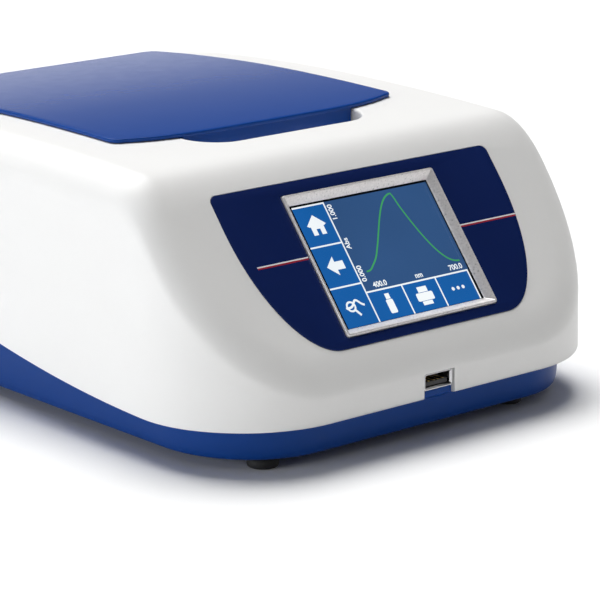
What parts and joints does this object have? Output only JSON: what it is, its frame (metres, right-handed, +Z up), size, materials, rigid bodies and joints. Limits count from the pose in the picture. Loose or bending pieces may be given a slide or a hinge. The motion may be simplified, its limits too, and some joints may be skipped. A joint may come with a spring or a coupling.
{
  "type": "spectrophotometer",
  "caption": "Compact bench-top UV/visible spectrophotometer with a sloping touch display, a front USB socket and a hinged sample lid over a cuvette compartment.",
  "frame": {"origin": "on the table, under the middle of the case's outline", "axes": "+Z up; -Y is the front with the sloping display, and the lid hinges along the rear; +X is to the operator's right"},
  "size_m": [0.2072, 0.2747, 0.1092],
  "materials": {
    "case_white": "fine satin moulding texture",
    "base_blue": "satin moulding",
    "lid_blue": "fine satin moulding texture",
    "fascia_navy": "satin printed film",
    "bezel_silver": "satin silver",
    "screen": "glossy lit display",
    "black_plastic": "matt black",
    "foot_rubber": "matt",
    "steel": "bright",
    "aluminium": "machined",
    "optic_glass": "polished",
    "circuit_board": "solder mask"
  },
  "bodies": {
    "case": {"array_detector": "black_plastic", "base_tray": "base_blue", "case_screw_front_left": "steel", "case_screw_front_right": "steel", "case_screw_rear_left": "steel", "case_screw_rear_right": "steel", "cuvette_holder": "black_plastic", "cuvette_spring": "steel", "detector_board": "circuit_board", "diffraction_grating": "optic_glass", "display_bezel": "bezel_silver", "display_board": "circuit_board", "entrance_window": "optic_glass", "exit_window": "optic_glass", "fascia_panel": "fascia_navy", "flash_lamp": "optic_glass", "foot_front_left": "foot_rubber", "foot_front_right": "foot_rubber", "foot_rear_left": "foot_rubber", "foot_rear_right": "foot_rubber", "front_usb_board": "circuit_board", "front_usb_socket": "steel", "front_usb_tongue": "black_plastic", "grating_mount": "aluminium", "heat_sink": "aluminium", "hinge_bracket_left": "steel", "hinge_bracket_right": "steel", "hinge_pin_left": "steel", "hinge_pin_right": "steel", "holder_screw_front": "steel", "holder_screw_rear": "steel", "inlet_pin": "steel", "lamp_driver_board": "circuit_board", "lamp_housing": "black_plastic", "lcd_module": "aluminium", "lid_sensor": "black_plastic", "main_board": "circuit_board", "optics_plate": "aluminium", "power_board": "circuit_board", "power_inlet": "black_plastic", "rear_panel": "black_plastic", "rear_usb_socket": "steel", "rear_usb_tongue": "black_plastic", "sample_chamber": "black_plastic", "slit_plate": "aluminium", "switch_bezel": "black_plastic", "touch_glass": "screen", "upper_shell": "case_white"},
    "lid": {"lid": "lid_blue", "lid_magnet": "steel"},
    "power_rocker": {"switch_rocker": "black_plastic"}
  },
  "joints": [
    {"name": "lid_hinge", "type": "hinge", "parent": "case", "child": "lid", "pos_m": [0, 0.121, 0.0985], "axis": [-1, 0, 0], "range_deg": [0, 95]},
    {"name": "power_switch", "type": "hinge", "parent": "case", "child": "power_rocker", "pos_m": [-0.0365, 0.12982, 0.033], "axis": [1, 0, 0], "range_deg": [0, 12]}
  ]
}
